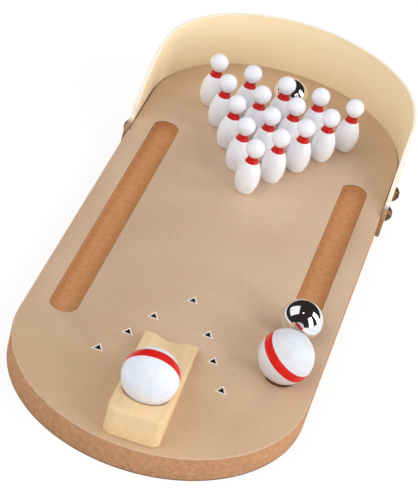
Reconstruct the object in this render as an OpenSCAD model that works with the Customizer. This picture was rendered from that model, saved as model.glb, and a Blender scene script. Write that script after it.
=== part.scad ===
// Table bowling game: a long board with a veneered lane and two gutters, a bent plywood
// guard round its back end, fifteen turned pins, a launch ramp, two painted balls and two
// steel balls. The origin is the centre of the board's underside, +Y points to the pins
// and +Z is up.

/* [Board] */
// Length of the board over its round ends
board_l = 346; // [330:2:380]
// Width of the board, and the diameter of its round ends
board_w = 135; // [130:1:145]
// Thickness of the fibreboard under the veneer
core_t = 11.4; // [9:0.2:16]
// Thickness of the veneer on the lane
veneer_t = 0.6; // [0.4:0.1:1.2]

/* [Gutters] */
// Width of each gutter, and the diameter of its round ends
gutter_w = 12.5; // [9:0.5:14]
// Length of each gutter over its round ends
gutter_l = 181; // [150:1:200]
// Depth of the gutters below the lane
gutter_depth = 2.7; // [2:0.1:4]
// Distance from the board's side to the middle of a gutter
gutter_inset = 16.8; // [14:0.2:20]
// Distance from the board's front tip to the front end of the gutters
gutter_from_front = 74; // [60:1:80]

/* [Guard] */
// Thickness of the bent plywood
guard_t = 2; // [1.4:0.1:3]
// Height of the guard above the lane at the back
guard_h = 30.5; // [18:0.5:40]
// Height of the guard above the lane at its two ends
guard_end_h = 2; // [0:0.5:6]
// Distance from the board's back tip forward to the guard's ends
guard_reach = 111; // [105:1:125]
// Length of the low stretch at each end
guard_low_l = 12; // [8:1:30]
// Length over which the top edge curves up from the low stretch
guard_rise_l = 70; // [45:1:80]

/* [Guard screws] */
// Diameter of the screw shank
screw_d = 3.5; // [2.5:0.1:4]
// Length of the screw under its head
screw_l = 16; // [10:1:25]
// Diameter of the round head
screw_head_d = 8; // [6:0.2:9]
// Height of the round head
screw_head_h = 2.8; // [2:0.1:3]
// Width of the slots of the cross in the head
screw_cross_w = 1; // [0.8:0.1:1.4]
// Distance from the end of the guard to the first screw
screw_from_end = 14; // [10:0.5:18]
// Distance between the two screws of one end
screw_pitch = 20.5; // [12:0.5:24]

/* [Pins] */
// Height of a pin
pin_h = 30; // [28:0.5:32]
// Radius of the round head of a pin
pin_head_r = 4.7; // [4.2:0.1:5.2]
// Radius of the belly of a pin
pin_belly_r = 6.1; // [5.8:0.1:6.6]
// Height of the belly's widest place
pin_belly_z = 8.5; // [8:0.5:10]
// Radius of the long curve of the belly's side
pin_side_r = 17.5; // [15:0.5:20]
// Radius of the hollow curve of the neck
pin_neck_fillet = 3; // [2.4:0.1:4]
// Width of the bevel round the foot
pin_foot_bevel = 0.6; // [0.4:0.1:1.2]
// Distance between the pins of one row
pin_pitch = 18.5; // [17:0.1:20]
// Distance between two rows
row_pitch = 17.35; // [16:0.05:18]
// Distance from the board's back tip to the last row
pins_from_back = 60; // [58:0.1:66]
// Sideways place of the middle of the triangle of pins
pins_x = -0.6; // [-3:0.1:3]

/* [Launch ramp] */
// Width of the ramp block
ramp_w = 25; // [24:0.5:30]
// Length of the ramp block
ramp_l = 73; // [66:1:80]
// Height of the ramp at its back end
ramp_h = 14.5; // [12.5:0.5:17]
// Length of the level deck behind the ball
ramp_deck_l = 9; // [6:0.5:12]
// Height of the ramp at its front end
ramp_nose_h = 3.6; // [2.8:0.2:5]
// Radius of the ramp's upright back corners
ramp_corner_r = 4; // [2:0.5:6]
// Radius of the rounding of the top edges
ramp_edge_r = 1.6; // [0.8:0.1:2.4]
// Distance from the ramp's back face to the middle of the ball seat
seat_from_back = 19.5; // [18:0.5:22]
// Height of the channel's bottom at the seat above the ramp's underside
seat_h = 8.5; // [7.8:0.1:10]
// Height of the channel's bottom at the ramp's front end above the underside
channel_end_h = 1; // [0.8:0.1:2]
// Depth of the dip that holds the ball in its seat
seat_dip = 0.4; // [0.3:0.1:0.8]
// Distance from the board's front tip to the ramp's back face, along the lane
ramp_from_front = 4.4; // [3:0.2:12]
// Sideways place of the middle of the ramp's back face
ramp_x = 2.7; // [-6:0.1:6]
// Turn of the ramp on the board in degrees
ramp_turn = 1.8; // [-4:0.1:4]

/* [Balls] */
// Diameter of the painted balls
ball_d = 25; // [23:0.5:27]
// Diameter of the steel balls
steel_d = 20; // [16:0.5:22]
// Distance from the gutter's front end to the middle of the painted ball in it
lane_ball_from_end = 7.8; // [6.4:0.2:30]
// Distance between the middles of the painted ball and the steel ball in the gutter
gutter_balls_apart = 33.8; // [26:0.2:60]
// Sideways distance of the steel ball behind the pins from the middle pin
rear_ball_offset = 1.3; // [-8:0.1:8]
// Clear distance between the ball behind the pins and the pins
rear_ball_gap = 0.4; // [0.3:0.1:4]
// Clearance between a ball and what it rests on
ball_clearance = 0.15; // [0.05:0.05:0.3]

/* [Hidden] */
$fn = 96;
// Cutters run past the faces that they cut by this much
over = 1;
// The guard's curved shoulder is drawn with this many straight steps
shoulder_steps = 20;

board_t = core_t + veneer_t;
front_tip = -board_l / 2;
back_tip = board_l / 2;
gutter_x = board_w / 2 - gutter_inset;
gutter_front = front_tip + gutter_from_front;
lane_ball_y = gutter_front + lane_ball_from_end;
guard_end_y = back_tip - guard_reach;
guard_outer_x = board_w / 2 + guard_t;
screw_z = board_t / 2;
screw_tip_l = screw_d;
pilot_clearance = 0.05;
pilot_r = screw_d / 2 + pilot_clearance;

// Rows in the triangle of pins
pin_rows = 5;
pin_count = pin_rows * (pin_rows + 1) / 2;
pin_head_z = pin_h - pin_head_r;
last_row_y = back_tip - pins_from_back;

ball_r = ball_d / 2;
steel_r = steel_d / 2;
channel_r = ball_r + ball_clearance;
ramp_y = front_tip + ramp_from_front;
slope_l = ramp_l - ramp_deck_l;
slope_angle = atan((ramp_h - ramp_nose_h) / slope_l);
channel_angle = atan((seat_h - channel_end_h) / (ramp_l - seat_from_back));
ramp_back_edge_r = 2 * ramp_edge_r;

painted_white = [0.96, 0.95, 0.95];
chrome = [0.75, 0.77, 0.8];
beech = [0.94, 0.82, 0.62];

function two_digits(n) = str(n < 10 ? "0" : "", n);
function pin_name(n) = str("pin_", two_digits(n));

// Row of pin n, counted from 0 at the front, and its place in that row, counted from 0
function pin_row(n, row = 0) = n <= row + 1 ? row : pin_row(n - row - 1, row + 1);
function pin_place(n) = n - 1 - pin_row(n) * (pin_row(n) + 1) / 2;
function pin_x(n) = pins_x + (pin_place(n) - pin_row(n) / 2) * pin_pitch;
function pin_y(n) = last_row_y - (pin_rows - 1 - pin_row(n)) * row_pitch;

// Height of a ball's middle above the lane where it lies in a gutter: it hangs between
// the two edges of the gutter, unless it reaches the gutter's floor first
function on_edges(r) = r > gutter_w / 2 ? sqrt(pow(r + ball_clearance, 2) - pow(gutter_w / 2, 2)) : 0;
function gutter_ball_z(r) = board_t + max(on_edges(r), r + ball_clearance - gutter_depth);

// Points of the guard's top edge seen from the side, as [y, z] above the lane
function shoulder(a) = [
    guard_end_y + guard_low_l + guard_rise_l * (1 - cos(a)),
    guard_end_h + (guard_h - guard_end_h) * sin(a)
];

// Outline with straight sides and half-round ends, running along Y
module long_round(l, w) {
    square([w, l - w], center = true);
    for (side = [-1, 1])
        translate([0, side * (l - w) / 2])
            circle(d = w);
}

module at_gutters() {
    for (side = [-1, 1])
        translate([side * gutter_x, gutter_front + gutter_l / 2, 0])
            children();
}

// Each screw place, with +Z pointing out of the board's side
module at_screws() {
    for (side = [-1, 1], i = [0, 1])
        translate([side * guard_outer_x, guard_end_y + screw_from_end + i * screw_pitch, screw_z])
            rotate([0, side * 90, 0])
                children();
}

module screw_hole() {
    translate([0, 0, -screw_l - over])
        cylinder(r = pilot_r, h = screw_l + 2 * over, $fn = 32);
}

module board_core() {
    color([0.72, 0.5, 0.34])
        difference() {
            linear_extrude(core_t)
                long_round(board_l, board_w);
            translate([0, 0, board_t - gutter_depth])
                linear_extrude(gutter_depth + over)
                    at_gutters()
                        long_round(gutter_l, gutter_w);
            at_screws()
                screw_hole();
        }
}

module lane_veneer() {
    color([0.79, 0.68, 0.55])
        translate([0, 0, core_t])
            linear_extrude(veneer_t)
                difference() {
                    long_round(board_l, board_w);
                    at_gutters()
                        long_round(gutter_l, gutter_w);
                }
}

// Side view of the guard: low and level at its ends, then curving up to its full height,
// which it keeps round the back
module guard_side_view() {
    polygon(concat(
        [[guard_end_y, 0], [guard_end_y, board_t + guard_end_h]],
        [for (i = [0:shoulder_steps]) shoulder(90 * i / shoulder_steps) + [0, board_t]],
        [[back_tip + guard_t + over, board_t + guard_h], [back_tip + guard_t + over, 0]]
    ));
}

module back_guard() {
    color([0.95, 0.84, 0.66])
        difference() {
            intersection() {
                linear_extrude(board_t + guard_h)
                    difference() {
                        long_round(board_l + 2 * guard_t, board_w + 2 * guard_t);
                        long_round(board_l, board_w);
                    }
                rotate([90, 0, 90])
                    linear_extrude(2 * (guard_outer_x + over), center = true)
                        guard_side_view();
            }
            at_screws()
                screw_hole();
        }
}

// Round-head screw with its head standing on the plane z = 0 and its point down
module screw() {
    dome_r = (pow(screw_head_h, 2) + pow(screw_head_d / 2, 2)) / (2 * screw_head_h);
    difference() {
        union() {
            intersection() {
                translate([0, 0, screw_head_h - dome_r])
                    sphere(r = dome_r, $fn = 48);
                cylinder(d = screw_head_d, h = screw_head_h, $fn = 48);
            }
            translate([0, 0, screw_tip_l - screw_l])
                cylinder(d = screw_d, h = screw_l - screw_tip_l, $fn = 32);
            translate([0, 0, -screw_l])
                cylinder(d1 = 0, d2 = screw_d, h = screw_tip_l, $fn = 32);
        }
        for (turn = [0, 90])
            rotate([0, 0, turn])
                translate([0, 0, screw_head_h])
                    cube([screw_head_d / 2, screw_cross_w, screw_head_h], center = true);
    }
}

module guard_screws() {
    color([0.35, 0.24, 0.16])
        at_screws()
            screw();
}

// Half of a pin's outline. The neck's hollow curve touches the head's circle and the long
// circle of the belly's side, so its middle lies where two arcs round theirs cross.
module pin_outline() {
    head = [0, pin_head_z];
    side = [pin_belly_r - pin_side_r, pin_belly_z];
    to_side = pin_side_r + pin_neck_fillet;
    to_head = pin_head_r + pin_neck_fillet;
    apart = norm(head - side);
    along = (pow(to_side, 2) - pow(to_head, 2) + pow(apart, 2)) / (2 * apart);
    across = sqrt(pow(to_side, 2) - pow(along, 2));
    way = (head - side) / apart;
    neck = side + along * way + across * [way.y, -way.x];
    head_touch = head + pin_head_r * (neck - head) / to_head;
    side_touch = side + pin_side_r * (neck - side) / to_side;
    foot_r = side.x + sqrt(pow(pin_side_r, 2) - pow(pin_belly_z, 2));
    intersection() {
        union() {
            translate(head)
                circle(r = pin_head_r);
            intersection() {
                translate(side)
                    circle(r = pin_side_r, $fn = 160);
                polygon([
                    [0, 0],
                    [foot_r - pin_foot_bevel, 0],
                    [foot_r + pin_foot_bevel, 2 * pin_foot_bevel],
                    [pin_belly_r + over, pin_belly_z],
                    [pin_belly_r + over, side_touch.y],
                    [0, side_touch.y]
                ]);
            }
            difference() {
                polygon([[0, side_touch.y], side_touch, neck, head_touch, [0, head_touch.y]]);
                translate(neck)
                    circle(r = pin_neck_fillet);
            }
        }
        square([pin_belly_r + over, pin_h + over]);
    }
}

module pin(n) {
    color(painted_white)
        translate([pin_x(n), pin_y(n), board_t])
            rotate_extrude()
                pin_outline();
}

// The ramp's own frame: the middle of its back face's foot, with +Y up the lane
module on_ramp() {
    translate([ramp_x, ramp_y, board_t])
        rotate([0, 0, ramp_turn])
            children();
}

// End view of a bar with its two top edges rounded, its top at y = 0
module round_topped(w, depth, r) {
    translate([-w / 2, -depth])
        square([w, depth - r]);
    translate([r - w / 2, -depth])
        square([w - 2 * r, depth]);
    for (side = [-1, 1])
        translate([side * (w / 2 - r), -r])
            circle(r = r);
}

// The block seen from above, with its two back corners rounded
module ramp_plan() {
    translate([-ramp_w / 2, ramp_corner_r])
        square([ramp_w, ramp_l - ramp_corner_r]);
    translate([ramp_corner_r - ramp_w / 2, 0])
        square([ramp_w - 2 * ramp_corner_r, ramp_l]);
    for (side = [-1, 1])
        translate([side * (ramp_w / 2 - ramp_corner_r), ramp_corner_r])
            circle(r = ramp_corner_r);
}

// The block before its channel is cut. Bars far longer and deeper than the block give it
// the level deck, the slope and the rounded back edge.
module ramp_block() {
    intersection() {
        linear_extrude(ramp_h)
            ramp_plan();
        translate([0, 0, ramp_h])
            rotate([90, 0, 0])
                linear_extrude(4 * ramp_l, center = true)
                    round_topped(ramp_w, 2 * ramp_h, ramp_edge_r);
        translate([0, ramp_deck_l, ramp_h])
            rotate([90 - slope_angle, 0, 0])
                linear_extrude(4 * ramp_l, center = true)
                    round_topped(ramp_w, 4 * ramp_h, ramp_edge_r);
        translate([0, 2 * ramp_l, ramp_h])
            rotate([90, 0, 90])
                linear_extrude(2 * ramp_w, center = true)
                    round_topped(4 * ramp_l, 2 * ramp_h, ramp_back_edge_r);
    }
}

// Middle of the ball in its seat, in the ramp's frame
ball_seat = [0, seat_from_back, seat_h + channel_r];

module launch_ramp() {
    color(beech)
        on_ramp()
            difference() {
                ramp_block();
                translate(ball_seat)
                    rotate([-90 - channel_angle, 0, 0])
                        cylinder(r = channel_r, h = 2 * ramp_l);
                translate(ball_seat - [0, 0, seat_dip])
                    sphere(r = channel_r);
            }
}

module ramp_ball() {
    color(painted_white)
        on_ramp()
            translate(ball_seat - [0, 0, seat_dip])
                sphere(r = ball_r);
}

module lane_ball() {
    color(painted_white)
        translate([gutter_x, lane_ball_y, gutter_ball_z(ball_r)])
            sphere(r = ball_r);
}

module gutter_steel_ball() {
    color(chrome)
        translate([gutter_x, lane_ball_y + gutter_balls_apart, gutter_ball_z(steel_r)])
            sphere(r = steel_r);
}

// Behind the middle pin of the last row, as near as the ball and the pin allow
module rear_steel_ball() {
    middles = steel_r + pin_belly_r + rear_ball_gap;
    behind = sqrt(pow(middles, 2) - pow(rear_ball_offset, 2));
    color(chrome)
        translate([pins_x + rear_ball_offset, last_row_y + behind, board_t])
            translate([0, 0, steel_r + ball_clearance])
                sphere(r = steel_r);
}

board_core();
lane_veneer();
back_guard();
guard_screws();
launch_ramp();
ramp_ball();
lane_ball();
gutter_steel_ball();
rear_steel_ball();
for (n = [1:pin_count]) pin(n);
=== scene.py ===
"""Table bowling game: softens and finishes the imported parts, then lights and frames them."""

import math

import bmesh
import bpy
from mathutils import Matrix, Vector


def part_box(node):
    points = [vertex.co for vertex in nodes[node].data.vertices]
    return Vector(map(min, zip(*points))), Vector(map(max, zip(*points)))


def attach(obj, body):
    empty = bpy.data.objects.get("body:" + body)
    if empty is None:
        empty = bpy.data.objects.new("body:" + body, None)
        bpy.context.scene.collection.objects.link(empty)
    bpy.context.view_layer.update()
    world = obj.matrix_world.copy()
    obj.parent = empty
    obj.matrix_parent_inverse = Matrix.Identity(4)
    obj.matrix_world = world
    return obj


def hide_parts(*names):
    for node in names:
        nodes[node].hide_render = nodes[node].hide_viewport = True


MM = 0.001

# Sizes of the pieces, in metres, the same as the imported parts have. X and Y are measured from
# the board's middle, and Z from its underside.
BOARD_HALF_W = 67.5 * MM
BOARD_HALF_L = 173 * MM
FOIL_T = 0.6 * MM
# The foil is trimmed a hair inside the board's own edge, which leaves the fine line round it
FOIL_INSET = 0.3 * MM
LANE_Z = 12 * MM
CORE_Z = LANE_Z - FOIL_T
GUTTER_X = 50.7 * MM
GUTTER_Y = (-99 * MM, 82 * MM)
GUTTER_HALF_W = 6.25 * MM
GUTTER_FLOOR_Z = LANE_Z - 2.7 * MM
# Middle and half length of the line between the middles of a gutter's round ends
GUTTER_LINE = (sum(GUTTER_Y) / 2, (GUTTER_Y[1] - GUTTER_Y[0]) / 2 - GUTTER_HALF_W)
# Y of the middles of the board's round ends
END_MIDDLE_Y = BOARD_HALF_L - BOARD_HALF_W
# The guard is low from its ends to the shoulder, and rises from there. Its two heights are
# above the lane.
GUARD_T = 2 * MM
GUARD_END_Y = 62 * MM
GUARD_SHOULDER_Y = 74 * MM
GUARD_RISE_L = 70 * MM
GUARD_END_H = 2 * MM
GUARD_H = 30.5 * MM
# The ramp, from the middle of its back edge and its foot. The ball's seat and the middle of
# the channel are placed from there too.
RAMP_X = 2.7 * MM
RAMP_Y = -168.6 * MM
RAMP_TURN = math.radians(1.8)
RAMP_W = 25 * MM
RAMP_L = 73 * MM
RAMP_H = 14.5 * MM
RAMP_DECK_L = 9 * MM
RAMP_NOSE_H = 3.6 * MM
RAMP_CORNER_R = 4 * MM
RAMP_EDGE_R = 1.6 * MM
RAMP_FOOT_R = 0.8 * MM
SEAT_Y = 19.5 * MM
SEAT_Z = 21.15 * MM
SEAT_DIP = 0.4 * MM
CHANNEL_R = 12.65 * MM
CHANNEL_DROP = 7.5 * MM
CHANNEL_ANGLE = math.atan(CHANNEL_DROP / (RAMP_L - SEAT_Y))
RAMP_PLACE = Matrix.Translation((RAMP_X, RAMP_Y, LANE_Z)) @ Matrix.Rotation(RAMP_TURN, 4, "Z")
# The red band round the pins
NECK_BAND_Z = LANE_Z + 19.5 * MM
NECK_BAND_HALF_H = 1.8 * MM

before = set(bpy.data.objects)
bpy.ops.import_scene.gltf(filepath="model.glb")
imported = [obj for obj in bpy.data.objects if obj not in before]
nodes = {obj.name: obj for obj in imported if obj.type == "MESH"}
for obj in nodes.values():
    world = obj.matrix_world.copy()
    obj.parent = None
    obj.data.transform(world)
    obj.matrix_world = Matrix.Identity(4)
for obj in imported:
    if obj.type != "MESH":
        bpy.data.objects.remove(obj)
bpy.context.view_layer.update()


# Materials


def linear(colour):
    """Turns an sRGB hex colour into the linear one that the shaders take."""
    parts = [int(colour[i : i + 2], 16) / 255 for i in (1, 3, 5)]
    return [p / 12.92 if p <= 0.04045 else ((p + 0.055) / 1.055) ** 2.4 for p in parts] + [1]


def add(owner, kind, links=None, stops=(), **settings):
    """Adds one shader node with its settings, the colours of its ramp if it has one, and a
    value, a node or a socket for each input that is named."""
    node = owner.node_tree.nodes.new("ShaderNode" + kind)
    for name, value in settings.items():
        setattr(node, name, value)
    for _ in stops[2:]:
        node.color_ramp.elements.new(0.5)
    for element, (position, colour) in zip(node.color_ramp.elements if stops else (), stops):
        element.position, element.color = position, linear(colour)
    for socket, source in (links or {}).items():
        if isinstance(source, bpy.types.Node):
            source = source.outputs[0]
        if isinstance(source, bpy.types.NodeSocket):
            owner.node_tree.links.new(source, node.inputs[socket])
        else:
            node.inputs[socket].default_value = source
    return node


def emptied(owner):
    """A new material or world, without the nodes that it comes with."""
    owner.use_nodes = True
    owner.node_tree.nodes.clear()
    return owner


def new_finish(name):
    """A material with no node yet but the one that gives a point's place in the object."""
    material = emptied(bpy.data.materials.new(name))
    return material, add(material, "TexCoord").outputs["Object"]


def off_line(material, place, line_x, line_y, half_length):
    """Distance from a line along the board, and round its ends: from the board's middle line
    to its edge, or from a gutter's to the gutter's. Both sides of the board are alike."""
    split = add(material, "SeparateXYZ", {"Vector": place})
    aside = add(material, "Math", {0: split.outputs["X"]}, operation="ABSOLUTE")
    across = add(material, "Math", {0: aside, 1: line_x}, operation="SUBTRACT")
    along = add(material, "Math", {0: split.outputs["Y"], 1: line_y}, operation="SUBTRACT")
    from_middle = add(material, "Math", {0: along}, operation="ABSOLUTE")
    past_end = add(material, "Math", {0: from_middle, 1: half_length}, operation="SUBTRACT")
    beyond = add(material, "Math", {0: past_end, 1: 0.0}, operation="MAXIMUM")
    flat = add(material, "CombineXYZ", {"X": across, "Y": beyond})
    return add(material, "VectorMath", {0: flat}, operation="LENGTH").outputs["Value"]


def lane_foil():
    """Tan paper foil under a matt lacquer: fine crossing fibres, and a soft sheen that
    mirrors the pins in front of them."""
    gutter_shade_w = 0.35 * MM
    painted_edge_w = 0.5 * MM
    # Each of these changes starts at the first place and is full at the second
    warm_shade_y = (-85 * MM, -145 * MM)
    gap_shadow_from_end_y = (GUARD_END_Y + 6 * MM, GUARD_END_Y + 18 * MM)
    gap_shadow_from_bend_y = (135 * MM, END_MIDDLE_Y)
    material, place = new_finish("lacquered_tan_foil")
    # Fibres of the paper, 0.5 mm wide in the real thing, drawn 1 mm wide so that they show
    fibre = {"Scale": 1 / (1 * MM), "Detail": 3}
    along = add(material, "Mapping", {"Vector": place, "Scale": (1, 0.3, 1)})
    across = add(material, "Mapping", {"Vector": place, "Scale": (0.3, 1, 1)})
    long_fibres = add(material, "TexNoise", {"Vector": along, **fibre})
    cross_fibres = add(material, "TexNoise", {"Vector": across, **fibre})
    weave = add(material, "Math", {0: long_fibres, 1: cross_fibres}, operation="ADD")
    half = add(material, "Math", {0: weave, 1: 0.5}, operation="MULTIPLY")
    tone = add(material, "ValToRGB", {"Fac": half},
               ((0.3, "#D2B294"), (0.5, "#D7B89A"), (0.7, "#DCBEA0")))
    # Uneven ink, in patches 40 mm across
    patches = add(material, "TexNoise", {"Vector": place, "Scale": 1 / (40 * MM), "Detail": 2})
    cloud = add(material, "ValToRGB", {"Fac": patches}, ((0.3, "#F4F0EC"), (0.7, "#FFFFFF")))
    print_tone = add(material, "Mix", {0: 1.0, 6: tone, 7: cloud}, data_type="RGBA",
                     blend_type="MULTIPLY")
    # The foil is tinted warmer toward the front end: painted warm shade, as if thrown back by
    # the wooden ramp
    split = add(material, "SeparateXYZ", {"Vector": place})
    warm_shade = add(material, "MapRange",
               {"Value": split.outputs["Y"], "From Min": warm_shade_y[0], "From Max": warm_shade_y[1]})
    warm_shaded = add(material, "Mix", {0: warm_shade, 6: print_tone.outputs[2], 7: linear("#FDFBF4")},
                   data_type="RGBA", blend_type="MULTIPLY")
    # The outer cut edge is painted paler, a painted highlight on its rounding, and dark where
    # the guard's straight sides touch it, a painted shadow of the gap between them
    past_guard_end = add(material, "MapRange",
                         {"Value": split.outputs["Y"], "From Min": gap_shadow_from_end_y[0],
                          "From Max": gap_shadow_from_end_y[1]})
    before_bend = add(material, "MapRange",
                      {"Value": split.outputs["Y"], "From Min": gap_shadow_from_bend_y[0],
                       "From Max": gap_shadow_from_bend_y[1]})
    gap_shadow_share = add(material, "Math", {0: past_guard_end, 1: before_bend}, operation="MULTIPLY")
    edge_highlight_and_gap_shadow = add(material, "Mix", {0: gap_shadow_share, 6: linear("#D9B99B"), 7: linear("#5A4230")},
                    data_type="RGBA")
    from_middle = off_line(material, place, 0, 0, END_MIDDLE_Y)
    # The band along the outer edge is painted paler, a painted highlight on the foil's rounded
    # edge
    painted_edge = add(material, "Math",
                   {0: from_middle, 1: BOARD_HALF_W - FOIL_INSET - painted_edge_w},
                   operation="GREATER_THAN")
    edge_lit_and_shaded = add(material, "Mix",
                {0: painted_edge, 6: warm_shaded.outputs[2], 7: edge_highlight_and_gap_shadow.outputs[2]},
                data_type="RGBA")
    # The foil is painted brown round the gutters, a painted shadow along their edges
    from_gutter = off_line(material, place, GUTTER_X, *GUTTER_LINE)
    in_gutter_shade = add(material, "Math", {0: from_gutter, 1: GUTTER_HALF_W + gutter_shade_w},
                    operation="LESS_THAN")
    gutter_shaded = add(material, "Mix", {0: in_gutter_shade, 6: edge_lit_and_shaded.outputs[2], 7: linear("#9D6E4D")},
                data_type="RGBA")
    bump = add(material, "Bump", {"Height": half, "Strength": 0.15, "Distance": 0.05 * MM})
    surface = add(material, "BsdfPrincipled",
                  {"Base Color": gutter_shaded.outputs[2], "Normal": bump, "Roughness": 0.5,
                   "Coat Weight": 0.35, "Coat Roughness": 0.25})
    add(material, "OutputMaterial", {"Surface": surface})
    return material


def fibreboard():
    """Raw medium-density fibreboard: felted brown fibres, darker where the router has
    burnished the gutters, paler on the sanded rim, and painted dark along its lower edge as
    contact shade."""
    foot_shade_h = 0.7 * MM
    rim_w = 1 * MM
    material, place = new_finish("raw_fibreboard")
    # The fibres lie in level layers. Bundles 0.3 mm thick in the real thing are drawn 0.6 mm
    # thick and 0.8 mm long so that they show.
    layers = add(material, "Mapping", {"Vector": place, "Scale": (0.75, 0.75, 1)})
    felt = add(material, "TexNoise",
               {"Vector": layers, "Scale": 1 / (0.6 * MM), "Detail": 4, "Roughness": 0.6})
    # Blotches where the fibres were pressed together, 2.5 mm across
    blotches = add(material, "TexNoise", {"Vector": place, "Scale": 1 / (2.5 * MM), "Detail": 1})
    tone = add(material, "Mix", {0: 0.3, 2: felt, 3: blotches})
    routed = add(material, "ValToRGB", {"Fac": tone},
                 ((0.34, "#BB8150"), (0.5, "#C88C59"), (0.66, "#D49864")))
    sanded = add(material, "ValToRGB", {"Fac": tone},
                 ((0.36, "#B38259"), (0.5, "#C49169"), (0.64, "#D5A178")))
    split = add(material, "SeparateXYZ", {"Vector": place})
    # The lowest part of the rim is painted dark: painted contact shade where the board meets the
    # table
    foot_shade = add(material, "Math", {0: split.outputs["Z"], 1: foot_shade_h}, operation="LESS_THAN")
    rim_tone_and_foot_shade = add(material, "Mix", {0: foot_shade, 6: sanded, 7: linear("#86664F")},
                   data_type="RGBA")
    from_middle = off_line(material, place, 0, 0, END_MIDDLE_Y)
    rim = add(material, "Math", {0: from_middle, 1: BOARD_HALF_W - rim_w},
              operation="GREATER_THAN")
    both = add(material, "Mix", {0: rim, 6: routed, 7: rim_tone_and_foot_shade.outputs[2]}, data_type="RGBA")
    bump = add(material, "Bump", {"Height": felt, "Strength": 0.4, "Distance": 0.1 * MM})
    surface = add(material, "BsdfPrincipled",
                  {"Base Color": both.outputs[2], "Normal": bump, "Roughness": 0.85})
    add(material, "OutputMaterial", {"Surface": surface})
    return material


def bent_plywood():
    """Light three-ply birch under a thin matt oil: faint grain along the strip, and
    paler sanded edges that show the middle ply."""
    # The low ends are darker brown: from the first place, and fully at the second
    dark_end_y = (GUARD_END_Y + 10 * MM, GUARD_END_Y + 4 * MM)
    # The cut edges lie between the faces, this far from the middle of the thickness to them
    edge_share = 0.9
    material, place = new_finish("bent_birch_plywood")
    # Grain runs round the strip, so its lines are level: 2 mm apart, and long
    level = add(material, "Mapping", {"Vector": place, "Scale": (0.04, 0.04, 1)})
    grain = add(material, "TexNoise",
                {"Vector": level, "Scale": 1 / (2 * MM), "Detail": 2, "Roughness": 0.4})
    face = add(material, "ValToRGB", {"Fac": grain}, ((0.3, "#FCE8C1"), (0.7, "#FEECC8")))
    # How far a point is from the middle of the strip's thickness, from 0 to 1 at its faces
    ply = add(material, "Math", {0: off_line(material, place, 0, 0, END_MIDDLE_Y),
                                 1: BOARD_HALF_W + GUARD_T / 2}, operation="SUBTRACT")
    off = add(material, "Math", {0: ply}, operation="ABSOLUTE")
    share = add(material, "Math", {0: off, 1: GUARD_T / 2}, operation="DIVIDE")
    edge = add(material, "ValToRGB", {"Fac": share}, ((0.3, "#FBF0DC"), (0.42, "#FFFAF0")))
    inside = add(material, "Math", {0: share, 1: edge_share}, operation="LESS_THAN")
    clean = add(material, "Mix", {0: inside, 6: face, 7: edge}, data_type="RGBA")
    split = add(material, "SeparateXYZ", {"Vector": place})
    dark_end = add(material, "MapRange",
                {"Value": split.outputs["Y"], "From Min": dark_end_y[0], "From Max": dark_end_y[1]})
    wood = add(material, "Mix", {0: dark_end, 6: clean.outputs[2], 7: linear("#B08D6E")},
               data_type="RGBA")
    bump = add(material, "Bump", {"Height": grain, "Strength": 0.05, "Distance": 0.05 * MM})
    surface = add(material, "BsdfPrincipled",
                  {"Base Color": wood.outputs[2], "Normal": bump, "Roughness": 0.6,
                   "Specular IOR Level": 0.25})
    add(material, "OutputMaterial", {"Surface": surface})
    return material


def light_beech():
    """Sanded light beech with a clear satin lacquer: faint straight grain along the block."""
    # The seat's rim is painted brown, a painted shadow of the ball sitting in it: from the first
    # distance off
    # # its surface, and fully at the second
    seat_shade_w = (0.7 * MM, 0.3 * MM)
    material, place = new_finish("sanded_beech")
    # Grain lines 1.6 mm apart, and twenty times as long
    lengthwise = add(material, "Mapping", {"Vector": place, "Scale": (1, 0.05, 1)})
    grain = add(material, "TexNoise",
                {"Vector": lengthwise, "Scale": 1 / (1.6 * MM), "Detail": 2, "Roughness": 0.4})
    clean = add(material, "ValToRGB", {"Fac": grain}, ((0.3, "#F0CD9B"), (0.7, "#F5D6A8")))
    seat_middle = RAMP_PLACE @ Vector((0, SEAT_Y, SEAT_Z - SEAT_DIP))
    from_seat = add(material, "VectorMath", {0: place, 1: seat_middle}, operation="DISTANCE")
    seat_shade = add(material, "MapRange",
                 {"Value": from_seat.outputs["Value"], "From Min": CHANNEL_R + seat_shade_w[0],
                  "From Max": CHANNEL_R + seat_shade_w[1]})
    wood = add(material, "Mix", {0: seat_shade, 6: clean, 7: linear("#B8905F")}, data_type="RGBA")
    bump = add(material, "Bump", {"Height": grain, "Strength": 0.05, "Distance": 0.05 * MM})
    surface = add(material, "BsdfPrincipled",
                  {"Base Color": wood.outputs[2], "Normal": bump, "Roughness": 0.5,
                   "Coat Weight": 0.2, "Coat Roughness": 0.35})
    add(material, "OutputMaterial", {"Surface": surface})
    return material


def gloss_paint(name, whites, reds, band):
    """Dipped gloss paint, white with one red band: band is a function that gives its mask."""
    material, place = new_finish(name)
    # Dip paint lies in faint waves about 3 mm long
    waves = add(material, "TexNoise", {"Vector": place, "Scale": 1 / (3 * MM), "Detail": 1})
    white = add(material, "ValToRGB", {"Fac": waves}, ((0.3, whites[0]), (0.7, whites[1])))
    red = add(material, "ValToRGB", {"Fac": waves}, ((0.3, reds[0]), (0.7, reds[1])))
    paint = add(material, "Mix", {0: band(material, place), 6: white, 7: red},
                data_type="RGBA")
    bump = add(material, "Bump", {"Height": waves, "Strength": 0.05, "Distance": 0.05 * MM})
    surface = add(material, "BsdfPrincipled",
                  {"Base Color": paint.outputs[2], "Normal": bump, "Roughness": 0.3,
                   "Specular IOR Level": 0.35})
    add(material, "OutputMaterial", {"Surface": surface})
    return material


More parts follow.
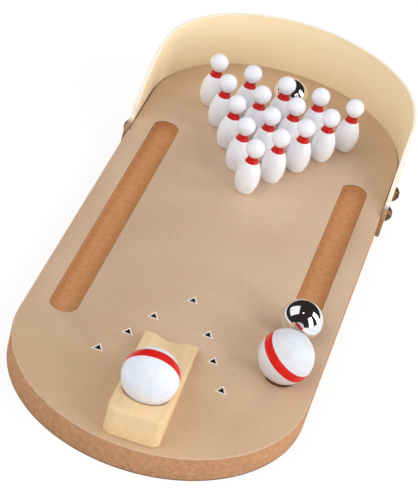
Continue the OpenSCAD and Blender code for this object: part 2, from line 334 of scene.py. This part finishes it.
def stripe_round(middle, normal, offset, half_width):
    """A band round a ball: the part within half_width of a plane set off from its middle."""

    def band(material, place):
        to_place = add(material, "VectorMath", {0: place, 1: middle}, operation="SUBTRACT")
        off_plane = add(material, "VectorMath", {0: to_place, 1: normal.normalized()},
                        operation="DOT_PRODUCT")
        shifted = add(material, "Math", {0: off_plane.outputs["Value"], 1: offset},
                      operation="SUBTRACT")
        off = add(material, "Math", {0: shifted}, operation="ABSOLUTE")
        return add(material, "Math", {0: off, 1: half_width}, operation="LESS_THAN")

    return band


def neck_band(material, place):
    """The red band round a pin's neck."""
    split = add(material, "SeparateXYZ", {"Vector": place})
    shifted = add(material, "Math", {0: split.outputs["Z"], 1: NECK_BAND_Z},
                  operation="SUBTRACT")
    off = add(material, "Math", {0: shifted}, operation="ABSOLUTE")
    return add(material, "Math", {0: off, 1: NECK_BAND_HALF_H}, operation="LESS_THAN")


def polished_steel():
    """Polished bearing ball: a near mirror with faint polishing marks."""
    material, place = new_finish("polished_steel")
    # Polishing marks about 2 mm across
    marks = add(material, "TexNoise", {"Vector": place, "Scale": 1 / (2 * MM), "Detail": 3})
    tone = add(material, "ValToRGB", {"Fac": marks}, ((0.3, "#EAEAEC"), (0.7, "#F0F1F3")))
    surface = add(material, "BsdfPrincipled",
                  {"Base Color": tone, "Metallic": 1.0, "Roughness": 0.04})
    add(material, "OutputMaterial", {"Surface": surface})
    return material


def bronzed_steel():
    """Wood screws with a dark bronze finish, rubbed lighter in places."""
    material, place = new_finish("bronzed_steel")
    # Rubbed patches about 1.5 mm across
    wear = add(material, "TexNoise", {"Vector": place, "Scale": 1 / (1.5 * MM), "Detail": 3})
    tone = add(material, "ValToRGB", {"Fac": wear}, ((0.35, "#4A3424"), (0.7, "#8A6A4C")))
    surface = add(material, "BsdfPrincipled",
                  {"Base Color": tone, "Metallic": 1.0, "Roughness": 0.35})
    add(material, "OutputMaterial", {"Surface": surface})
    return material


def printing_ink(name, dark, light):
    """Screen-printed ink, slightly uneven in cover."""
    material, place = new_finish(name)
    # Pinholes of the screen, about 0.6 mm apart
    cover = add(material, "TexNoise", {"Vector": place, "Scale": 1 / (0.6 * MM), "Detail": 2})
    tone = add(material, "ValToRGB", {"Fac": cover}, ((0.3, dark), (0.7, light)))
    surface = add(material, "BsdfPrincipled",
                  {"Base Color": tone, "Roughness": 0.45, "Specular IOR Level": 0.25})
    add(material, "OutputMaterial", {"Surface": surface})
    return material


# Shapes


def pick(piece):
    """Selects one object alone."""
    bpy.ops.object.select_all(action="DESELECT")
    bpy.context.view_layer.objects.active = piece
    piece.select_set(True)


def new_object(name):
    """An empty mesh object, alone selected, to be shaped by operators."""
    piece = bpy.data.objects.new(name, bpy.data.meshes.new(name))
    bpy.context.collection.objects.link(piece)
    pick(piece)
    return piece


def round_ended(name, half_w, y_low, y_high, x, z_low, z_high):
    """A block with straight sides and half-round ends, drawn as one outline and pulled up."""
    end_steps = 64
    straight = y_high - y_low - 2 * half_w
    piece = new_object(name)
    shape = bmesh.new()
    shape.verts.new((half_w, y_low + half_w, z_low))
    shape.to_mesh(piece.data)
    shape.free()
    bpy.ops.object.mode_set(mode="EDIT")
    bpy.ops.mesh.select_all(action="SELECT")
    for run, end_y in ((straight, y_high - half_w), (-straight, y_low + half_w)):
        bpy.ops.mesh.extrude_region_move(TRANSFORM_OT_translate={"value": (0, run, 0)})
        bpy.ops.mesh.spin(steps=end_steps, angle=-math.pi, center=(0, end_y, z_low),
                          axis=(0, 0, 1))
    bpy.ops.mesh.select_all(action="SELECT")
    # The outline's last point falls on its first
    bpy.ops.mesh.remove_doubles(threshold=0.005 * MM)
    bpy.ops.mesh.edge_face_add()
    bpy.ops.mesh.extrude_region_move(TRANSFORM_OT_translate={"value": (0, 0, z_high - z_low)})
    bpy.ops.mesh.select_all(action="SELECT")
    bpy.ops.transform.translate(value=(x, 0, 0))
    bpy.ops.mesh.normals_make_consistent(inside=False)
    bpy.ops.object.mode_set(mode="OBJECT")
    return piece


def cut(piece, tool, how="DIFFERENCE"):
    """Cuts a piece with another one, which is used up."""
    pick(piece)
    boolean = piece.modifiers.new("cut", "BOOLEAN")
    boolean.operation = how
    boolean.solver = "EXACT"
    boolean.object = tool
    bpy.ops.object.modifier_apply(modifier="cut")
    bpy.data.objects.remove(tool)


def soften(piece, width, segments, angle=35):
    """Rounds every edge sharper than the angle, and shades the rest smooth."""
    pick(piece)
    bevel = piece.modifiers.new("bevel", "BEVEL")
    bevel.width = width
    bevel.segments = segments
    bevel.limit_method = "ANGLE"
    bevel.angle_limit = math.radians(angle)
    bpy.ops.object.modifier_apply(modifier="bevel")
    bpy.ops.object.shade_smooth_by_angle(angle=math.radians(angle))


def finish_piece(piece, material, body, stands_for):
    """Gives a piece its finish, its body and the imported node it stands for."""
    piece.data.materials.clear()
    piece.data.materials.append(material)
    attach(piece, body)
    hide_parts(stands_for)


def cut_gutters(piece, z_low, z_high):
    """Cuts both gutters between two heights, of which one or both lie past the piece."""
    for side in (-1, 1):
        cut(piece, round_ended("gutter", GUTTER_HALF_W, *GUTTER_Y, side * GUTTER_X, z_low,
                               z_high))


def make_board():
    """The fibreboard, with its two routed gutters."""
    board = round_ended("board", BOARD_HALF_W, -BOARD_HALF_L, BOARD_HALF_L, 0, 0, CORE_Z)
    cut_gutters(board, GUTTER_FLOOR_Z, CORE_Z + 2 * MM)
    soften(board, width=0.25 * MM, segments=2)
    return board


def make_foil():
    """The foil over the top of the board, open over the gutters."""
    foil = round_ended("lane_top", BOARD_HALF_W - FOIL_INSET, FOIL_INSET - BOARD_HALF_L,
                       BOARD_HALF_L - FOIL_INSET, 0, CORE_Z, LANE_Z)
    cut_gutters(foil, CORE_Z - 1 * MM, LANE_Z + 1 * MM)
    soften(foil, width=0.3 * MM, segments=2)
    return foil


def make_guard():
    """The guard: a thin strip round the board's back, trimmed to its side view."""
    # How far the cutting shapes reach past the guard
    over = 5 * MM
    side_reach = 100 * MM
    curve_steps = 32
    low, high = LANE_Z + GUARD_END_H, LANE_Z + GUARD_H
    guard = round_ended("guard", BOARD_HALF_W + GUARD_T, -BOARD_HALF_L - GUARD_T,
                        BOARD_HALF_L + GUARD_T, 0, 0, high)
    cut(guard, round_ended("hollow", BOARD_HALF_W, -BOARD_HALF_L, BOARD_HALF_L, 0, -over,
                           high + over))
    # The side view: low along the screws, a quarter ellipse up, level round the back
    outline = [(GUARD_END_Y, -over), (GUARD_END_Y, low)]
    for i in range(curve_steps + 1):
        turn = math.pi / 2 * i / curve_steps
        outline.append((GUARD_SHOULDER_Y + GUARD_RISE_L * (1 - math.cos(turn)),
                        low + (high - low) * math.sin(turn)))
    outline += [(BOARD_HALF_L + 2 * over, high), (BOARD_HALF_L + 2 * over, -over)]
    side = new_object("side_view")
    shape = bmesh.new()
    shape.faces.new([shape.verts.new((-side_reach, y, z)) for y, z in outline])
    shape.to_mesh(side.data)
    shape.free()
    bpy.ops.object.mode_set(mode="EDIT")
    bpy.ops.mesh.select_all(action="SELECT")
    bpy.ops.mesh.extrude_region_move(TRANSFORM_OT_translate={"value": (2 * side_reach, 0, 0)})
    bpy.ops.mesh.select_all(action="SELECT")
    bpy.ops.mesh.normals_make_consistent(inside=False)
    bpy.ops.object.mode_set(mode="OBJECT")
    cut(guard, side, "INTERSECT")
    soften(guard, width=0.4 * MM, segments=3)
    return guard


def make_ramp():
    """The launch ramp: a block with a level deck and a slope, its edges rounded, then the
    channel and the ball's seat scooped out."""
    bpy.ops.object.select_all(action="DESELECT")
    bpy.ops.mesh.primitive_cube_add(size=1, location=(0, RAMP_L / 2, RAMP_H / 2))
    ramp = bpy.context.active_object
    ramp.name = ramp.data.name = "ramp"
    ramp.scale = (RAMP_W, RAMP_L, RAMP_H)
    bpy.ops.object.transform_apply(location=True, rotation=True, scale=True)
    bpy.ops.object.mode_set(mode="EDIT")
    bpy.ops.mesh.select_all(action="SELECT")
    bpy.ops.mesh.bisect(plane_co=(0, RAMP_DECK_L, 0), plane_no=(0, 1, 0))
    near = 0.01 * MM
    for corner in bmesh.from_edit_mesh(ramp.data).verts:
        if corner.co.z > RAMP_H / 2 and corner.co.y > RAMP_L - near:
            corner.co.z = RAMP_NOSE_H
    bpy.ops.mesh.select_mode(type="EDGE")

    def bevel_where(test, radius):
        bpy.ops.mesh.select_all(action="DESELECT")
        for edge in bmesh.from_edit_mesh(ramp.data).edges:
            edge.select = test(*(v.co for v in edge.verts))
        bmesh.update_edit_mesh(ramp.data)
        bpy.ops.mesh.bevel(offset=radius, segments=8, affect="EDGES", clamp_overlap=False)

    def back_corner(a, b):
        return abs(a.y) < near and abs(b.y) < near and abs(a.x - b.x) < near

    def by_side_or_back(point):
        return abs(abs(point.x) - RAMP_W / 2) < near or point.y < RAMP_CORNER_R + near

    def top_edge(a, b):
        return (min(a.z, b.z) > RAMP_NOSE_H - near
                and by_side_or_back(a) and by_side_or_back(b))

    def foot_edge(a, b):
        return max(a.z, b.z) < near

    bevel_where(back_corner, RAMP_CORNER_R)
    bevel_where(top_edge, RAMP_EDGE_R)
    bevel_where(foot_edge, RAMP_FOOT_R)
    bpy.ops.object.mode_set(mode="OBJECT")

    reach = 2 * RAMP_L
    downhill = Vector((0, math.cos(CHANNEL_ANGLE), -math.sin(CHANNEL_ANGLE)))
    bpy.ops.object.select_all(action="DESELECT")
    bpy.ops.mesh.primitive_cylinder_add(
        vertices=128, radius=CHANNEL_R, depth=reach,
        location=Vector((0, SEAT_Y, SEAT_Z)) + reach / 2 * downhill,
        rotation=(math.pi / 2 - CHANNEL_ANGLE, 0, 0))
    bpy.ops.object.transform_apply(location=True, rotation=True, scale=True)
    cut(ramp, bpy.context.active_object)
    bpy.ops.object.select_all(action="DESELECT")
    bpy.ops.mesh.primitive_uv_sphere_add(segments=96, ring_count=48, radius=CHANNEL_R,
                                         location=(0, SEAT_Y, SEAT_Z - SEAT_DIP))
    bpy.ops.object.transform_apply(location=True, rotation=True, scale=True)
    cut(ramp, bpy.context.active_object)
    # The seat meets the channel at a flat angle, and the slivers there are welded away
    bpy.ops.object.mode_set(mode="EDIT")
    bpy.ops.mesh.select_all(action="SELECT")
    bpy.ops.mesh.remove_doubles(threshold=0.02 * MM)
    bpy.ops.object.mode_set(mode="OBJECT")
    soften(ramp, width=0.5 * MM, segments=3, angle=30)
    ramp.data.transform(RAMP_PLACE)
    return ramp


def make_aim_marks(white, black):
    """Seven printed darts: a white triangle with a black one inside it."""
    half_base, length, rim = 2.6 * MM, 5.35 * MM, 0.58 * MM
    # The ink stands 0.02 mm proud of the lane
    ink_low, ink_high = LANE_Z - 0.01 * MM, LANE_Z + 0.02 * MM
    # The print lies 1 mm off the board's middle: one dart at its tip, and three pairs, each
    # given by how far its darts are to the sides
    middle_x = 1 * MM
    pairs = ((12.95 * MM, -80.05 * MM), (20 * MM, -97.4 * MM), (28.5 * MM, -115.35 * MM))
    places = [(0, -58.9 * MM)] + [(side * x, y) for x, y in pairs for side in (-1, 1)]
    darts = []
    for x, y in places:
        bpy.ops.object.select_all(action="DESELECT")
        bpy.ops.mesh.primitive_circle_add(vertices=3, radius=1, fill_type="NGON")
        dart = bpy.context.active_object
        # A circle of three corners is 2 sin 60 wide and 1.5 long, and is stretched to the
        # dart's base and length
        dart.scale = (half_base / math.sin(math.radians(60)), length / 1.5, 1)
        bpy.ops.object.transform_apply(location=True, rotation=True, scale=True)
        bpy.ops.object.mode_set(mode="EDIT")
        bpy.ops.mesh.select_all(action="SELECT")
        bpy.ops.mesh.inset(thickness=rim, depth=0)
        bpy.ops.mesh.select_all(action="SELECT")
        bpy.ops.mesh.extrude_region_move(
            TRANSFORM_OT_translate={"value": (0, 0, ink_high - ink_low)})
        bpy.ops.object.mode_set(mode="OBJECT")
        dart.data.transform(Matrix.Translation((middle_x + x, y, ink_low)))
        darts.append(dart)
    pick(darts[0])
    for dart in darts:
        dart.select_set(True)
    bpy.ops.object.join()
    marks = bpy.context.active_object
    marks.name = marks.data.name = "aim_marks"
    marks.data.materials.append(white)
    marks.data.materials.append(black)
    # The triangles inside are black, and the faces round them, with four corners, white
    for face in marks.data.polygons:
        face.material_index = 1 if len(face.vertices) == 3 else 0
    bpy.ops.object.mode_set(mode="EDIT")
    bpy.ops.mesh.select_all(action="SELECT")
    bpy.ops.mesh.normals_make_consistent(inside=False)
    bpy.ops.object.mode_set(mode="OBJECT")
    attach(marks, "board")


finish_piece(make_board(), fibreboard(), "board", "board_core")
finish_piece(make_foil(), lane_foil(), "board", "lane_veneer")
finish_piece(make_guard(), bent_plywood(), "board", "back_guard")
finish_piece(make_ramp(), light_beech(), "launch_ramp", "launch_ramp")
make_aim_marks(printing_ink("white_ink", "#EFE7E0", "#F6F0EA"),
               printing_ink("black_ink", "#0C0B0C", "#17151A"))


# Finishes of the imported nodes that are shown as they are


def paint_node(name, material):
    """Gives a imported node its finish. Its mesh stays as it is."""
    slots = nodes[name].data.materials
    slots.clear()
    slots.append(material)


def middle_of(name):
    """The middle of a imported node's box."""
    low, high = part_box(name)
    return (Vector(low) + Vector(high)) / 2


# The stripes are turned as the balls lie in the photo. Each has the direction that it faces,
# how far it is set off from the ball's middle, and half its width.
BALL_REDS = ("#D9160F", "#E21D15")
ramp_ball_stripe = stripe_round(middle_of("ramp_ball"), Vector((-0.04, 0.962, 0.27)),
                                2.9 * MM, 2.4 * MM)
lane_ball_stripe = stripe_round(middle_of("lane_ball"), Vector((0.527, 0.026, 0.849)),
                                1.1 * MM, 2.2 * MM)
# Both balls have one white paint, given as two copies: the ramp ball's painted lighter and the
# lane ball's painted darker, as painted light and shade
paint_node("ramp_ball", gloss_paint("white_ball_paint_lit_and_shaded_copies", ("#EAEDF8", "#F0F2FB"), BALL_REDS,
                                    ramp_ball_stripe))
paint_node("lane_ball", gloss_paint("white_ball_paint_lit_and_shaded_copies", ("#E0E2E9", "#E6E8EF"), BALL_REDS,
                                    lane_ball_stripe))
steel = polished_steel()
paint_node("gutter_steel_ball", steel)
paint_node("rear_steel_ball", steel)
paint_node("guard_screws", bronzed_steel())
pin_paint = gloss_paint("white_pin_paint", ("#F1F4FB", "#F6F8FE"), ("#C2120D", "#CB1813"),
                        neck_band)
for name in nodes:
    if name.startswith("pin_"):
        paint_node(name, pin_paint)


# Stage, light and camera


def make_stage():
    """A white table, 12 m wide, that keeps soft shadows."""
    bpy.ops.object.select_all(action="DESELECT")
    bpy.ops.mesh.primitive_plane_add(size=12, location=(0, 0, 0))
    floor = bpy.context.active_object
    floor.name = "floor"
    material = emptied(bpy.data.materials.new("white_table"))
    table = add(material, "BsdfDiffuse", {"Color": (0.6, 0.6, 0.6, 1)})
    # To the eye and in mirrors the table is white by itself, and only its shadows are lit
    matt = add(material, "BsdfDiffuse", {"Color": (0.25, 0.25, 0.25, 1)})
    glow = add(material, "Emission", {"Color": (1, 1, 1, 1), "Strength": 0.8})
    bright = add(material, "AddShader", {0: matt, 1: glow})
    rays = add(material, "LightPath")
    seen = add(material, "Math",
               {0: rays.outputs["Is Camera Ray"], 1: rays.outputs["Is Glossy Ray"]},
               operation="MAXIMUM")
    mix = add(material, "MixShader", {0: seen, 1: table, 2: bright})
    add(material, "OutputMaterial", {"Surface": mix})
    floor.data.materials.append(material)


def make_world():
    """White to the eye, an even grey light, and for mirrors a dark room with a pale horizon."""
    world = emptied(bpy.data.worlds.new("studio"))
    bpy.context.scene.world = world
    rays = add(world, "LightPath")
    direction = add(world, "TexCoord").outputs["Generated"]
    height = add(world, "SeparateXYZ", {0: direction}).outputs["Z"]
    room = add(world, "ValToRGB", {"Fac": height}, ((0.03, "#E8E4E0"), (0.07, "#302C2A")))
    mirrored = add(world, "Background", {"Color": room})
    even = add(world, "Background", {"Color": (1, 1, 1, 1), "Strength": 0.22})
    white = add(world, "Background", {"Color": (1, 1, 1, 1)})
    light = add(world, "MixShader", {0: rays.outputs["Is Glossy Ray"], 1: even, 2: mirrored})
    mix = add(world, "MixShader", {0: rays.outputs["Is Camera Ray"], 1: light, 2: white})
    add(world, "OutputWorld", {"Surface": mix})


def softbox(name, azimuth, elevation, width, height, power, mirrored):
    """A soft lamp, placed by its direction from the board's middle."""
    distance = 1.6
    light = bpy.data.lights.new(name, "AREA")
    light.shape = "RECTANGLE"
    light.size = width
    light.size_y = height
    light.energy = power
    lamp = bpy.data.objects.new(name, light)
    bpy.context.collection.objects.link(lamp)
    a, e = math.radians(azimuth), math.radians(elevation)
    away = Vector((math.sin(a) * math.cos(e), math.cos(a) * math.cos(e), math.sin(e)))
    lamp.location = away * distance
    lamp.rotation_euler = away.to_track_quat("Z", "Y").to_euler()
    lamp.visible_glossy = mirrored


# The windows and the ceiling lamp are the ones that the steel ball mirrors in the photo, and
# the fills only lighten. Each has its azimuth, from the back toward the right, and its
# elevation in degrees, its width and height in metres, its power in watts, and whether it
# shows in mirrors.
LAMPS = (
    ("left_window", -91, 47, 1.5, 1.35, 6.3, True),
    ("right_front_window", 118, 25, 0.6, 1.3, 9, True),
    ("right_back_window", 73, 24, 0.6, 1.3, 8.3, True),
    ("ceiling_lamp", 176, 75, 0.14, 0.14, 0.3, True),
    ("front_left_fill", -140, 35, 1.2, 1.2, 10.4, False),
    ("front_right_fill", 135, 10, 1.2, 0.5, 4.7, False),
    ("back_fill", 25, 42, 1.6, 1.0, 6.2, False),
)


def make_camera():
    """The photo's viewpoint: a long lens from the front, rolled to set the board aslant."""
    photo_h, focal = 497, 2150  # pixels
    turn, tilt, roll = (math.radians(d) for d in (-6.12, 33.98, 15.59))
    eye_place = (0.08675, -0.85344, 0.58051)
    camera = bpy.data.cameras.new("camera")
    camera.sensor_width = 36
    camera.lens = 36 * focal / photo_h
    camera.clip_start = 0.01
    eye = bpy.data.objects.new("camera", camera)
    bpy.context.collection.objects.link(eye)
    ahead = Vector((math.sin(turn) * math.cos(tilt), math.cos(turn) * math.cos(tilt),
                    -math.sin(tilt)))
    level = ahead.cross(Vector((0, 0, 1))).normalized()
    up = level.cross(ahead)
    across = level * math.cos(roll) + up * math.sin(roll)
    upward = up * math.cos(roll) - level * math.sin(roll)
    eye.matrix_world = Matrix.Translation(eye_place) @ Matrix(
        (across, upward, -ahead)).transposed().to_4x4()
    bpy.context.scene.camera = eye


make_stage()
make_world()
for lamp in LAMPS:
    softbox(*lamp)
make_camera()
bpy.context.scene.view_settings.view_transform = "Standard"
